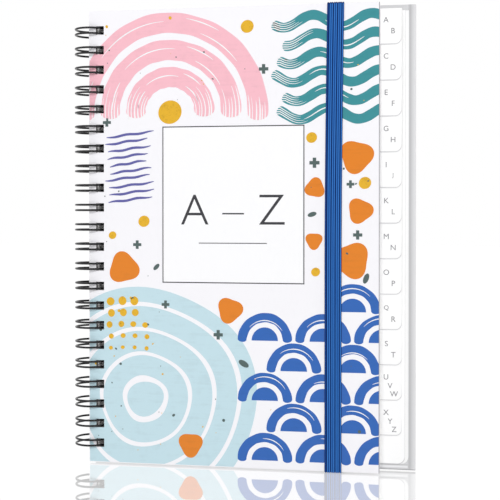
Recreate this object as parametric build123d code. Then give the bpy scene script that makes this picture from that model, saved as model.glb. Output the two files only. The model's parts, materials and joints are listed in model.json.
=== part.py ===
from build123d import *
import os
from math import cos, degrees, hypot, radians, sin, sqrt

# A twin-wire bound address book that stands upright: X runs from the spine to the fore-edge,
# Y from the front cover to the back cover, and Z up the spine. Sizes are in millimetres.

# Covers: greyboard in a wrap of printed paper that is turned in round the edges, and a lining
cover_height = 194.5
front_cover_width = 125.0
back_cover_width = 139.4
board_thickness = 1.7
wrap_thickness = 0.15
turn_in_width = 12.0
lining_clearance = 0.1

# Leaves: one group for each pair or trio of letters, then blank notes and a stiffer end leaf
letter_groups = ["ab", "cd", "ef", "gh", "ij", "kl", "mn", "op", "qr", "st", "uvw", "xyz"]
cover_overhang = 2.45
group_thickness = 0.44
notes_thickness = 0.5
end_leaf_thickness = 0.2
layer_gap = 0.04
foot_strip = 12.0
tab_reach = 8.85
notes_reach = 10.2
end_leaf_reach = 11.5
tab_undercut = 1.5
tab_corner_radius = 2.6
leaf_corner_radius = 3.2

# Binding: one wire bent into hairpin loops, each closed round its own punched hole
loop_pitch = 8.467
end_margin = 2.5
wire_diameter = 0.9
wire_spacing = 2.35
wire_sides = 6
wire_clearance = 0.2
hole_margin = 3.15
spine_gap = 0.4
loop_runs = 12
loop_base_angle = 98.0
loop_tip_angle = 82.0
bend_cut = 0.75

# Elastic band: goes round the closed book, with its tails held under the back cover's lining
band_width = 7.1
band_thickness = 0.6
band_inset = 19.2
slit_inset = 9.0
slit_clearance = 0.2
tail_length = 14.0

# Thicknesses, front to back, about the binding's axis
cover_thickness = board_thickness + 2 * wrap_thickness
leaf_gaps = len(letter_groups) + 3
block_thickness = (len(letter_groups) * group_thickness + notes_thickness + end_leaf_thickness
                   + leaf_gaps * layer_gap)
half_block = block_thickness / 2
half_book = half_block + cover_thickness

# The tabs share the leaves' height, all but a strip at the foot
leaf_height = cover_height - 2 * cover_overhang
tab_height = (leaf_height - foot_strip) / len(letter_groups)

# The loop is just large enough to pass the covers' outer faces at the edge of their holes
loop_sweep = 360 - loop_base_angle + loop_tip_angle
run_angle = loop_sweep / loop_runs
loop_inner_radius = hypot(spine_gap + hole_margin + wire_clearance, half_book)
corner_radius = (loop_inner_radius + wire_diameter / 2) / cos(radians(run_angle / 2))
loop_outer_radius = corner_radius + wire_diameter / 2 / cos(radians(run_angle / 2))

# Every sheet is punched with the same hole, and the leaves hang further along the wire
hole_left = spine_gap + hole_margin
hole_width = sqrt(loop_outer_radius ** 2 - half_block ** 2) + wire_clearance - hole_left
hole_height = wire_spacing + wire_diameter + 2 * wire_clearance
leaf_hole_left = loop_outer_radius + wire_clearance - hole_width
leaf_left = leaf_hole_left - hole_margin
loop_count = int((leaf_height - hole_height - 2 * end_margin) / loop_pitch) + 1

# Heights: the band passes under the covers, so they stand clear of the table by its thickness
cover_bottom = band_thickness
cover_top = cover_bottom + cover_height
middle = (cover_bottom + cover_top) / 2
leaf_bottom = middle - leaf_height / 2
leaf_top = middle + leaf_height / 2
front_edge = spine_gap + front_cover_width
loop_heights = [middle + (i - (loop_count - 1) / 2) * loop_pitch for i in range(loop_count)]
slit_heights = [cover_bottom + slit_inset, cover_top - slit_inset]
band_x = front_edge - band_inset


def area(left, right, bottom, top):
    """A rectangle on the XZ plane, given by its sides."""
    return Pos((left + right) / 2, (bottom + top) / 2) * Rectangle(right - left, top - bottom)


def layer(profile, front, back):
    """A sheet of the given profile that fills the space from y = front to y = back."""
    return extrude(Plane.XZ.offset(-back) * profile, amount=back - front)


def punch(left):
    """The row of square holes along the spine, starting at x = left."""
    row = Sketch()
    for height in loop_heights:
        row += area(left, left + hole_width, height - hole_height / 2, height + hole_height / 2)
    return row


def rounded(profile, x, z, radius):
    """The profile with its corner at (x, z) rounded."""
    corner = profile.vertices().sort_by_distance((x, z))[0]
    return fillet(corner, radius)


def cover(width, outer, inward):
    """Board, wrap and lining of a cover whose outer face is at y = outer; inward is 1 or -1."""

    def slab(profile, start, end):
        first = outer + inward * start
        last = outer + inward * end
        return layer(profile, min(first, last), max(first, last))

    left = spine_gap
    right = spine_gap + width
    board_end = wrap_thickness + board_thickness
    outline = area(left, right, cover_bottom, cover_top)
    board_outline = area(left + wrap_thickness, right - wrap_thickness,
                         cover_bottom + wrap_thickness, cover_top - wrap_thickness)
    window = area(left + turn_in_width, right - turn_in_width,
                  cover_bottom + turn_in_width, cover_top - turn_in_width)
    lining_outline = area(left + turn_in_width + lining_clearance, right - turn_in_width - lining_clearance,
                          cover_bottom + turn_in_width + lining_clearance,
                          cover_top - turn_in_width - lining_clearance)
    holes = slab(punch(hole_left), 0, cover_thickness)
    blank = slab(board_outline, wrap_thickness, board_end)
    board = blank - holes
    wrap = slab(outline, 0, cover_thickness) - blank - slab(window, board_end, cover_thickness) - holes
    lining = slab(lining_outline, board_end, cover_thickness)
    return board, wrap, lining


def band_slits():
    """The two slits through the back cover that take the band's tails."""
    half_width = band_width / 2 + slit_clearance
    half_height = band_thickness / 2 + slit_clearance
    slits = Sketch()
    for height in slit_heights:
        slits += area(band_x - half_width, band_x + half_width, height - half_height, height + half_height)
    return layer(slits, half_book - wrap_thickness - board_thickness, half_book)


def tail_beds():
    """The shallow beds in the back board, under its lining, that the band's tails lie in."""
    half_width = band_width / 2 + slit_clearance
    front = half_block + wrap_thickness
    low, high = slit_heights
    end = tail_length + slit_clearance
    beds = area(band_x - half_width, band_x + half_width, low, low + end)
    beds += area(band_x - half_width, band_x + half_width, high - end, high)
    return layer(beds, front, front + band_thickness)


def tab_leaves(number):
    """Outline of a letter group: full width down to its own tab, cut back below it."""
    tab_right = front_edge + tab_reach
    tab_bottom = leaf_top - (number + 1) * tab_height
    profile = area(leaf_left, tab_right, tab_bottom, leaf_top)
    profile += area(leaf_left, front_edge - tab_undercut, leaf_bottom, tab_bottom)
    return rounded(profile, tab_right, tab_bottom, tab_corner_radius) - punch(leaf_hole_left)


def plain_leaf(reach):
    """Outline of an untabbed leaf with one rounded corner, reaching past the front cover."""
    right = front_edge + reach
    profile = area(leaf_left, right, leaf_bottom, leaf_top)
    return rounded(profile, right, leaf_bottom, leaf_corner_radius) - punch(leaf_hole_left)


def on_loop(angle, height):
    """A corner of the wire's path on the loop, with angles from +X towards +Y."""
    return Vector(corner_radius * cos(radians(angle)), corner_radius * sin(radians(angle)), height)


def wire_path():
    """The wire's corners: out round each loop, across its tip, back, and along to the next loop."""
    cut_angle = degrees(bend_cut / corner_radius)
    inner_runs = range(1, loop_runs)
    points = []
    for height in loop_heights:
        low = height - wire_spacing / 2
        high = height + wire_spacing / 2
        angles = [loop_base_angle + run_angle * run for run in inner_runs]
        points.append(on_loop(loop_base_angle, low - bend_cut))
        points.append(on_loop(loop_base_angle + cut_angle, low))
        points += [on_loop(angle, low) for angle in angles]
        points.append(on_loop(360 + loop_tip_angle - cut_angle, low))
        points.append(on_loop(360 + loop_tip_angle, low + bend_cut))
        points.append(on_loop(360 + loop_tip_angle, high - bend_cut))
        points.append(on_loop(360 + loop_tip_angle - cut_angle, high))
        points += [on_loop(angle, high) for angle in reversed(angles)]
        points.append(on_loop(loop_base_angle + cut_angle, high))
        points.append(on_loop(loop_base_angle, high + bend_cut))
    return points


def least_gap(points):
    """Least clear distance between stretches of the wire that aren't neighbours along it."""
    samples = []
    for start, end in zip(points, points[1:]):
        samples += [start, start + (end - start) * 0.5]
    least = 1000.0
    for i, here in enumerate(samples):
        for there in samples[i + 5:i + 120]:
            least = min(least, (here - there).length)
    return least - wire_diameter


def twin_wire(points):
    """The whole binding as one unbroken wire with mitred bends."""
    path = Polyline(*points)
    section = Plane(origin=path @ 0, z_dir=path % 0) * RegularPolygon(wire_diameter / 2, wire_sides)
    return sweep(section, path=path, transition=Transition.RIGHT)


def elastic_band():
    """The band's side view along its middle line, given its thickness and then its width."""
    half = band_thickness / 2
    front = -half_book - half
    back = half_book + half
    inside = half_block + wrap_thickness + half
    low, high = slit_heights
    middle_line = Polyline(
        (inside, high - tail_length), (inside, high), (back, high), (back, cover_top + half),
        (front, cover_top + half), (front, cover_bottom - half), (back, cover_bottom - half),
        (back, low), (inside, low), (inside, low + tail_length))
    side_view = Plane.YZ.offset(band_x - band_width / 2) * trace(middle_line, line_width=band_thickness)
    return extrude(side_view, amount=band_width)


parts = {}
board, wrap, lining = cover(front_cover_width, -half_book, 1)
parts["front_cover_board"] = board
parts["front_cover_wrap"] = wrap
parts["front_cover_lining"] = lining

board, wrap, lining = cover(back_cover_width, half_book, -1)
parts["back_cover_board"] = board - band_slits() - tail_beds()
parts["back_cover_wrap"] = wrap - band_slits()
parts["back_cover_lining"] = lining

front = -half_block + layer_gap
for number, letters in enumerate(letter_groups):
    parts["leaves_" + letters] = layer(tab_leaves(number), front, front + group_thickness)
    front += group_thickness + layer_gap
parts["leaves_notes"] = layer(plain_leaf(notes_reach), front, front + notes_thickness)
front += notes_thickness + layer_gap
parts["end_leaf"] = layer(plain_leaf(end_leaf_reach), front, front + end_leaf_thickness)

corners = wire_path()
parts["twin_wire"] = twin_wire(corners)
parts["elastic_band"] = elastic_band()

# The origin is the middle of the book's box, at the surface that it stands on
box = Compound(list(parts.values())).bounding_box()
to_origin = Pos(-(box.min.X + box.max.X) / 2, -(box.min.Y + box.max.Y) / 2, -box.min.Z)

os.makedirs("parts", exist_ok=True)
for name, shape in parts.items():
    export_step(to_origin * shape, f"parts/{name}.step")

print("box", box.size)
print("hinge axis at", to_origin.position)
print("closed thickness", round(2 * half_book, 3), "loop outside", round(2 * loop_outer_radius, 3))
print("hole", round(hole_width, 3), "x", round(hole_height, 3))
print("least gap of the wire to itself", round(least_gap(corners), 3))
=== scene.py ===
"""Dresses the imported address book: cover print, binding wire, elastic band, leaves, and a white stage."""
import json
import random
from math import ceil, cos, dist, hypot, radians, sin, sqrt

import bmesh
import bpy
from bpy.props import FloatProperty, FloatVectorProperty, IntProperty, PointerProperty, StringProperty
from mathutils import Matrix, Vector


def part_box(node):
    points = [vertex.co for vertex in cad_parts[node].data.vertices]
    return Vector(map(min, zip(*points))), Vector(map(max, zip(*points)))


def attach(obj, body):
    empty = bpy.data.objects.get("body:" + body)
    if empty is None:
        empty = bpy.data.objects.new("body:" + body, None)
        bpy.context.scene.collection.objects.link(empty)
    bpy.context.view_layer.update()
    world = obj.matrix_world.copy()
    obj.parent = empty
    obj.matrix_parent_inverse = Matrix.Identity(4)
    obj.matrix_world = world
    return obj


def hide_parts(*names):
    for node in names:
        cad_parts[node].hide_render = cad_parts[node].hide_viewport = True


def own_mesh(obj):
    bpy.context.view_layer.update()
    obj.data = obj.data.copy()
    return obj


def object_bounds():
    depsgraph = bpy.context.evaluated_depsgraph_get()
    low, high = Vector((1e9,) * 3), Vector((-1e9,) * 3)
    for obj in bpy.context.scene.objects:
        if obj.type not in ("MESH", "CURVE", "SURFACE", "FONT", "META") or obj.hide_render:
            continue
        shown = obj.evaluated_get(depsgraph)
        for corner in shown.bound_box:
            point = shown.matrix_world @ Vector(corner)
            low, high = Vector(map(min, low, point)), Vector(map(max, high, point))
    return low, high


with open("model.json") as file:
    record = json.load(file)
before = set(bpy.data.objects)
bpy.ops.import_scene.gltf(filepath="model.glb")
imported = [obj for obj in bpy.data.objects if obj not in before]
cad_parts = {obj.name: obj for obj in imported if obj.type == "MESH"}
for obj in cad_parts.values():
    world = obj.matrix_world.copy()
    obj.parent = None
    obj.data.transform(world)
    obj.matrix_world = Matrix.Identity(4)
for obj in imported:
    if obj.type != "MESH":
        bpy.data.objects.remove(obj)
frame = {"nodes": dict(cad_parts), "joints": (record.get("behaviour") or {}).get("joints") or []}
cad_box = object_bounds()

bl_info = {
    "name": "Address Book",
    "version": (1, 0, 0),
    "blender": (4, 5, 0),
    "location": "View3D > Sidebar > Address Book",
    "description": "Print, binding wire, elastic band, leaves and stage for a twin-wire address book",
    "category": "Object",
}

MM = 0.001
WELD = 0.001 * MM
WHITE = (1.0, 1.0, 1.0, 1.0)
QUARTER_TURN = [radians(15 * step) for step in range(7)]

# Places that come from the frame
FRONT_LOW, FRONT_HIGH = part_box("front_cover_wrap")
BACK_LOW, BACK_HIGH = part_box("back_cover_wrap")
BACK_BOARD_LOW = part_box("back_cover_board")[0]
BAND_LOW, BAND_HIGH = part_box("elastic_band")
WIRE_LOW, WIRE_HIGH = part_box("twin_wire")
LEAF_LOW, LEAF_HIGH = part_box("leaves_ab")
RING_AXIS = Vector(frame["joints"][0]["pos_m"])
LEAF_NODES = sorted(name for name in frame["nodes"] if name.startswith("leaves_"))
LETTER_NODES = [name for name in LEAF_NODES if name != "leaves_notes"]

# Body and slot of what lies on the covers
ON_FRONT = ("front_cover", "printed_wrap")
ON_BACK = ("back_cover", "back_wrap")

# Painted shade and light on the back wrap, as (share of the way, share of the tone), out from the leaves
# and up from the foot: darkest a little way out from the leaves, where their shadow falls, and lighter
# towards the cover's edge; under the leaves darker at both ends and lighter midway
SIDE_PAINTED_SHADE = ((0.0, 0.86), (0.2, 0.74), (0.42, 0.9), (0.65, 1.0), (1.0, 1.13))
FOOT_PAINTED_SHADE = ((0.05, 0.85), (0.3, 0.95), (0.5, 1.3), (0.65, 1.2), (0.85, 0.85))

# The band's vertex layer, 0 in grooves and 1 on crests, which paints shade into the grooves and a highlight
# onto the crests, and rises from a groove as (height, crest share)
CREST_LIGHT = "crest_share"
DEEP_RISE = ((0.3, 0.0), (0.65, 0.05), (0.92, 0.6), (1.0, 1.0))
SHALLOW_RISE = ((0.65, 0.15), (0.8, 0.3), (0.95, 0.8), (1.0, 1.0))

# What is left of the crests' painted highlight on the first cord and inside, and at the fold over the
# cover's head: painted shade in all three places
SHADED_SIDE_SHARE = 0.3
FOLD_SHADE_SHARE = 0.2

# Millimetres right of the front cover and below a tab's head, for tabs of two letters and of three
LETTER_STEPS = {2: ((2.43, 4.66), (5.3, 9.26)), 3: ((2.26, 3.72), (3.93, 7.42), (5.6, 10.77))}

# How a hairline thins towards its upper end, on a tab and on the blank sheets
TAB_FADE = (0.9, 0.75, 0.6, 0.5, 0.35, 0.02)
PLAIN_FADE = (0.9, 0.8, 0.7, 0.6, 0.5, 0.4)

# Lamps as (name, place in metres, size in metres, power in watts)
LAMPS = (
    ("key_light", (0.0, -1.1, 0.72), 0.4, 6.3),
    ("back_light", (0.2, 1.0, 0.7), 0.6, 4.0),
    ("side_light", (1.1, -0.05, 0.35), 0.4, 2.2),
)


def srgb(red, green, blue):
    """Screen values from 0 to 255 as the linear values that shaders take."""
    shares = [value / 255 for value in (red, green, blue)]
    return tuple(s / 12.92 if s <= 0.04045 else ((s + 0.055) / 1.055) ** 2.4 for s in shares)


def colour_setting(label, text, screen):
    """A colour that a user may change, given its screen values."""
    return FloatVectorProperty(name=label, description=text, subtype="COLOR", size=3, min=0.0, max=1.0,
                               default=srgb(*screen))


def length_setting(label, text, millimetres):
    """A length that a user may change."""
    return FloatProperty(name=label, description=text, unit="LENGTH", precision=5, default=millimetres * MM)


def angle_setting(label, text, degrees):
    """An angle that a user may change."""
    return FloatProperty(name=label, description=text, unit="ROTATION", default=radians(degrees))


def share_setting(label, text, share, least=0.0, most=1.0):
    """A share that a user may change."""
    return FloatProperty(name=label, description=text, subtype="FACTOR", min=least, max=most, default=share)


def count_setting(label, text, count, least=1):
    """A number of things that a user may change."""
    return IntProperty(name=label, description=text, subtype="UNSIGNED", min=least, default=count)


class CoverSettings(bpy.types.PropertyGroup):
    """Papers and board of the two covers."""
    wrap: colour_setting("Wrap", "Laminated paper round the front board", (247, 246, 250))
    # Light grey: painted shade that stands in for the leaves' shadow on the back cover's inner face; the
    # whole back wrap takes it
    back: colour_setting("Back wrap", "Laminated paper round the back board", (214, 214, 216))
    lining: colour_setting("Lining", "Uncoated paper inside the covers", (244, 243, 240))
    board: colour_setting("Greyboard", "Board seen in the punched holes", (124, 118, 110))
    # Painted shade: the fold colour is a grey line on the front face along the front cover's fore-edge and
    # along the back cover's foot
    fold: colour_setting("Fold", "Painted shade line where a wrap turns round its board", (146, 145, 150))
    # Painted shade: shares that darken the wraps' upright edges, head and foot faces, and again their feet,
    # the back foot most
    fore_edge: share_setting("Fore-edge tone", "Share of the wrap's tone left on upright edges", 0.75)
    head_edge: share_setting("Head tone", "Share of the wrap's tone left at the head and foot", 0.65)
    front_foot: share_setting("Front foot tone", "Share of the head's tone at the front foot", 1.3, most=2)
    back_foot: share_setting("Back foot tone", "Share of the head's tone at the soiled back foot", 0.4)


class PrintSettings(bpy.types.PropertyGroup):
    """Inks of the front cover's print, in the order that they lie on the paper."""
    aqua: colour_setting("Aqua", "Ink of the contour rings", (196, 223, 232))
    pink: colour_setting("Pink", "Ink of the arches", (246, 188, 200))
    teal: colour_setting("Teal", "Ink of the waves", (52, 140, 148))
    blue: colour_setting("Blue", "Ink of the scallops", (38, 98, 180))
    indigo: colour_setting("Indigo", "Ink of the hatching", (92, 92, 160))
    orange: colour_setting("Orange", "Ink of the rounded triangles", (226, 128, 22))
    gold: colour_setting("Gold", "Foil of the dots", (240, 184, 44))
    charcoal: colour_setting("Charcoal", "Ink of the crosses and pebbles", (78, 96, 94))
    chalk: colour_setting("Chalk", "Bare streaks left by the brush", (250, 249, 252))
    step: length_setting("Ink step", "Height of each ink over the one below it", 0.012)
    margin: length_setting("Margin", "Bare rim along the cover's edges", 0.25)


class LabelSettings(bpy.types.PropertyGroup):
    """Panel in the middle of the front cover, measured from the cover's lower left corner."""
    left: length_setting("Left", "Panel's left side", 32.7)
    bottom: length_setting("Bottom", "Panel's lower side", 77.8)
    width: length_setting("Width", "Panel's width", 61.1)
    height: length_setting("Height", "Panel's height", 66.6)
    border: length_setting("Border", "Width of the line round the panel", 0.44)
    mark: StringProperty(name="Mark", description="Generic index mark on the panel", default="A – Z")
    mark_height: length_setting("Mark height", "Height of the mark's capitals", 12.6)
    mark_rise: length_setting("Mark rise", "From the panel's lower side to the mark's middle", 31.2)
    rule_rise: length_setting("Rule rise", "From the panel's lower side to the rule", 17.0)
    rule_length: length_setting("Rule length", "Length of the rule under the mark", 29.3)
    rule_width: length_setting("Rule width", "Thickness of the rule", 0.36)
    paper: colour_setting("Label paper", "Ground of the panel", (251, 251, 253))
    ink: colour_setting("Label ink", "Border, mark and rule", (48, 48, 54))


class WireSettings(bpy.types.PropertyGroup):
    """Twin wire of the binding and the holes that it passes through."""
    loops: count_setting("Loops", "Number of hairpin loops", 22, 2)
    pitch: length_setting("Pitch", "From one loop to the next", 8.467)
    spacing: length_setting("Spacing", "Between the two legs of a loop", 2.35)
    diameter: length_setting("Diameter", "Thickness of the wire", 0.9)
    radius: length_setting("Loop radius", "From the ring's axis to the middle of the wire", 7.04)
    bend: length_setting("Bend", "Radius of the bend from one loop to the next", 1.0)
    base: angle_setting("Base", "Where a loop starts behind the book", 98)
    tip: angle_setting("Tip", "Where a loop ends behind the book", 442)
    hole_margin: length_setting("Hole margin", "From the cover's edge to its holes", 3.15)
    hole_width: length_setting("Hole width", "Across the spine", 3.525)
    hole_height: length_setting("Hole height", "Along the spine", 3.65)
    colour: colour_setting("Wire", "Nylon coat of the wire", (17, 16, 19))


class BandSettings(bpy.types.PropertyGroup):
    """Flat ribbed elastic that holds the book closed."""
    thickness: length_setting("Thickness", "From the flat side to the top of a rib", 0.45)
    lift: length_setting("Lift", "Air between the covers and the band", 0.15)
    ribs: count_setting("Ribs", "Cords woven into the band", 8, 2)
    corner: length_setting("Corner", "Radius round the covers' edges", 0.4)
    slit_bend: length_setting("Slit bend", "Radius where a tail turns inside the cover", 0.6)
    slit_inset: length_setting("Slit inset", "From the cover's end to the slit", 9.0)
    tail: length_setting("Tail", "Length of each tail inside the cover", 13.8)
    lean: length_setting("Lean", "How far the band has slipped sideways at the front cover's head", 1.05)
    colour: colour_setting("Elastic", "Dyed thread of the band", (15, 82, 166))
    # Painted shade and highlight: the groove colour darkens the grooves and sides, the crest colour
    # lightens the crests
    groove: colour_setting("Groove", "Painted shade between the ribs and along the sides", (3, 34, 92))
    crest: colour_setting("Crest", "Painted highlight on top of the ribs", (60, 128, 202))


class LeafSettings(bpy.types.PropertyGroup):
    """Sheets, index letters and ruling."""
    sheets: count_setting("Sheets", "Sheets in each letter group", 4)
    notes: count_setting("Notes", "Blank sheets behind the last tab", 5)
    gap: length_setting("Gap", "Air between neighbouring sheets", 0.014)
    tab: length_setting("Tab height", "Height of one index tab", 14.8)
    tab_corner: length_setting("Tab corner", "Radius of a tab's lower corner", 2.6)
    plain_corner: length_setting("Plain corner", "Radius of the untabbed sheets' lower corner", 3.2)
    hairline: length_setting("Hairline", "Width of the line round a tab", 0.32)
    hidden: length_setting("Hidden start", "How far under the front cover a hairline starts", 1.3)
    capital: length_setting("Capital", "Height of the index letters", 2.2)
    letter_pitch: length_setting("Letter pitch", "From one tab's letters to the next tab's", 14.927)
    film: length_setting("Film", "Thickness of printed marks", 0.012)
    entries: count_setting("Entries", "Address entries on a page", 4)
    lines: count_setting("Lines", "Writing lines in an entry", 5)
    line_width: length_setting("Line width", "Thickness of a writing line", 0.18)
    spine_margin: length_setting("Spine margin", "From the cover's spine edge to the ruling", 15)
    side_margin: length_setting("Side margin", "From the ruling to the cover's fore-edge", 9)
    head_margin: length_setting("Head margin", "From the leaves' head to the ruling", 12)
    foot_margin: length_setting("Foot margin", "From the leaves' foot to the ruling", 14)
    paper: colour_setting("Paper", "Writing paper", (255, 255, 255))
    end_paper: colour_setting("End paper", "Stiffer leaf before the back cover", (248, 248, 248))
    letter_ink: colour_setting("Letter ink", "Index letters", (120, 120, 124))
    # Painted shade: a grey hairline along each tab's edge and the blank sheets' edge, standing in for the
    # shadow at each step
    hairline_ink: colour_setting("Hairline ink", "Line round each tab", (212, 212, 214))
    ruling_ink: colour_setting("Ruling ink", "Writing lines", (150, 160, 172))


class StageSettings(bpy.types.PropertyGroup):
    """Camera, lit floor and light."""
    lens: FloatProperty(name="Lens", description="Focal length, for a sensor 36 mm wide", unit="CAMERA",
                        default=82.8)
    place: FloatVectorProperty(name="Camera place", description="Where the camera stands", size=3,
                               subtype="TRANSLATION", precision=4, default=(0.09417, -0.48089, 0.10912))
    turn: angle_setting("Turn", "Camera's turn about the vertical", 10.62)
    dip: angle_setting("Dip", "How far the camera looks down", 0.561)
    shift: share_setting("Shift", "Upward shift of the lens, as a share of the frame", -0.056, least=-1.0)
    floor: colour_setting("Floor", "Table top", (252, 252, 252))
    glow: share_setting("Glow", "Share of the floor's own light that doesn't depend on the lamps", 0.92)
    gloss: share_setting("Gloss", "Share of the floor's light that is a reflection", 0.5)
    ambient: share_setting("Ambient", "Strength of the white room as a light", 0.46)


class AddressBookSettings(bpy.types.PropertyGroup):
    """All settings of the address book."""
    covers: PointerProperty(type=CoverSettings, name="Covers", description="Papers and board")
    inks: PointerProperty(type=PrintSettings, name="Print", description="Inks of the front cover")
    label: PointerProperty(type=LabelSettings, name="Label", description="Panel on the front cover")
    wire: PointerProperty(type=WireSettings, name="Wire", description="Binding wire")
    band: PointerProperty(type=BandSettings, name="Band", description="Elastic band")
    leaves: PointerProperty(type=LeafSettings, name="Leaves", description="Sheets and index")
    stage: PointerProperty(type=StageSettings, name="Stage", description="Camera, floor and light")


# Materials

def feed(tree, node, inputs):
    """Sets inputs to values or links them to outputs, by number or name; an underscore is a space."""
    for key, value in inputs.items():
        socket = node.inputs[key.replace("_", " ") if isinstance(key, str) else key]
        if isinstance(value, bpy.types.NodeSocket):
            tree.links.new(value, socket)
        else:
            socket.default_value = value


def add_node(tree, kind, *ordered, operation=None, **named):
    """A shader node with its inputs given in order or by name."""
    node = tree.nodes.new("ShaderNode" + kind)
    if operation:
        node.operation = operation
    feed(tree, node, dict(enumerate(ordered)) | named)
    return node


def start_finish(name, **constants):
    """A new material and its node tree, with constant inputs set on its shader."""
    material = bpy.data.materials.new(name)
    material.use_nodes = True
    tree = material.node_tree
    feed(tree, tree.nodes["Principled BSDF"], constants)
    return material, tree


def coat(material, paint, gloss, relief):
    """Gives a material its paint, gloss (factor, low, high) and relief (factor, strength, depth in mm)."""
    tree = material.node_tree
    height, strength, depth = relief
    bump = add_node(tree, "Bump", Strength=strength, Distance=depth * MM, Height=height)
    feed(tree, tree.nodes["Principled BSDF"],
         {"Base Color": paint, "Roughness": laid_over(tree, *gloss), "Normal": bump.outputs["Normal"]})
    return material


def grain(tree, scale, stretch=(1.0, 1.0, 1.0), tilt=0.0):
    """Noise that is fixed to the piece, from 0 to 1, denser along an axis that is stretched."""
    place = add_node(tree, "TexCoord").outputs["Object"]
    mapping = add_node(tree, "Mapping", Vector=place, Rotation=(0.0, tilt, 0.0), Scale=stretch)
    place = mapping.outputs["Vector"]
    return add_node(tree, "TexNoise", Vector=place, Scale=scale, Detail=5.0, Roughness=0.6).outputs["Fac"]


def ramp(tree, factor, *stops):
    """Colours that follow the factor, with stops given as (place, colour) from low to high."""
    node = add_node(tree, "ValToRGB", factor)
    elements = node.color_ramp.elements
    elements.remove(elements[1])
    for place, colour in stops[1:]:
        elements.new(place).color = (*colour, 1.0)
    elements[0].position = stops[0][0]
    elements[0].color = (*stops[0][1], 1.0)
    return node.outputs["Color"]


def shaded(colour, share):
    """The colour made darker or lighter, no lighter than a shader takes."""
    return [min(1.0, part * share) for part in colour]


def tones(tree, factor, colour, darkest, lightest, low=0.3, high=0.7):
    """The colour, made darker where the factor is low and lighter where it is high."""
    return ramp(tree, factor, (low, shaded(colour, darkest)), (high, shaded(colour, lightest)))


def laid_over(tree, factor, low, high):
    """The factor's 0 to 1 laid over another range."""
    return add_node(tree, "MapRange", Value=factor, To_Min=low, To_Max=high).outputs["Result"]


def combined(tree, operation, first, second):
    """Two factors put together by a sum, a product or another operation."""
    return add_node(tree, "Math", first, second, operation=operation).outputs["Value"]


def blended(tree, first, second):
    """Two grains laid over each other, with the brightest places levelled off."""
    return laid_over(tree, combined(tree, "ADD", first, second), 0.0, 0.5)


def share_along(tree, axis, low, high):
    """How far a place is on the way from low to high along X or Z, from 0 to 1."""
    place = add_node(tree, "SeparateXYZ", add_node(tree, "TexCoord").outputs["Object"]).outputs[axis]
    return add_node(tree, "MapRange", Value=place, From_Min=low, From_Max=high).outputs["Result"]


def shaded_edges(tree, paint, shares, foot):
    """The paint, cut to a share of its strength on faces along X, Y and Z, and again at the foot: painted
    shade on edges and feet.
    """
    normal = add_node(tree, "TexCoord").outputs["Normal"]
    upward = add_node(tree, "SeparateXYZ", normal).outputs["Z"]
    shadowed = add_node(tree, "MapRange", Value=upward, From_Min=-1.0, From_Max=0.0, To_Min=foot)
    facing = add_node(tree, "VectorMath", normal, operation="ABSOLUTE")
    share = add_node(tree, "VectorMath", facing.outputs["Vector"], shares, operation="DOT_PRODUCT")
    left = combined(tree, "MULTIPLY", share.outputs["Value"], shadowed.outputs["Result"])
    return add_node(tree, "VectorMath", paint, operation="SCALE", Scale=left).outputs["Vector"]


def paper_finish(name, colour, roughness, fibre=900.0, contrast=0.02, relief=0.12, edges=None):
    """Paper with faint cloudiness, short fibres and an uneven gloss, and painted shade on its edges if
    asked for.
    """
    material, tree = start_finish(name, Roughness=roughness)
    fibres = grain(tree, fibre, (1.0, 1.0, 0.35))
    clouds = grain(tree, fibre / 20)
    paint = tones(tree, blended(tree, fibres, clouds), colour, 1 - contrast, 1 + contrast)
    if edges:
        paint = shaded_edges(tree, paint, *edges)
    return coat(material, paint, (clouds, roughness - 0.08, roughness + 0.08), (fibres, relief, 0.02))


def painted_shade_finish(name, colour, axis, low, high, stops):
    """Satin paper with painted shade and light along X or Z, with stops as (place, share of the colour)."""
    material, tree = start_finish(name, Roughness=0.45)
    mottle = grain(tree, 300.0)
    wear = [(place, shaded(colour, share)) for place, share in stops]
    paint = ramp(tree, share_along(tree, axis, low, high), *wear)
    return coat(material, paint, (mottle, 0.36, 0.54), (mottle, 0.12, 0.02))


def board_finish(name, colour):
    """Greyboard of pressed waste paper, with dark and pale flecks."""
    material, tree = start_finish(name, Roughness=0.9)
    specks = grain(tree, 2600.0, (1.0, 0.5, 1.0))
    return coat(material, tones(tree, specks, colour, 0.6, 1.35), (specks, 0.82, 0.98), (specks, 0.5, 0.05))


def ink_finish(name, colour, tilt=0.0):
    """Opaque brushed ink under a satin film, with streaks along the brush's way."""
    material, tree = start_finish(name, Roughness=0.42)
    mottle = grain(tree, 260.0)
    mixed = blended(tree, grain(tree, 60.0, (1.0, 1.0, 14.0), tilt), mottle)
    return coat(material, tones(tree, mixed, colour, 0.91, 1.09), (mottle, 0.34, 0.5), (mixed, 0.08, 0.01))


def wire_finish(name, colour):
    """Black nylon coat with a soft shine and faint pits."""
    material, tree = start_finish(name, Roughness=0.2, Specular_IOR_Level=0.4)
    pits = grain(tree, 1800.0)
    return coat(material, tones(tree, pits, colour, 0.7, 1.5), (pits, 0.15, 0.3), (pits, 0.12, 0.02))


def elastic_finish(name, band):
    """Dyed elastic with threads along its ribs, with painted shade in the grooves and a painted highlight
    on the crests.
    """
    material, tree = start_finish(name, Roughness=0.75, Sheen_Weight=0.1, Specular_IOR_Level=0.2)
    crests = add_node(tree, "Attribute")
    crests.attribute_name = CREST_LIGHT
    threads = grain(tree, 900.0, (3.0, 3.0, 0.05))
    threads_and_light = combined(tree, "MULTIPLY", crests.outputs["Fac"], laid_over(tree, threads, 0.6, 1.4))
    # Painted shade in the grooves and painted highlight on the crests, over the threads' own grain
    paint = ramp(tree, threads_and_light, (0.05, band.groove), (0.45, band.colour), (0.95, band.crest))
    return coat(material, paint, (threads, 0.66, 0.84), (threads, 0.3, 0.04))


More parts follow.
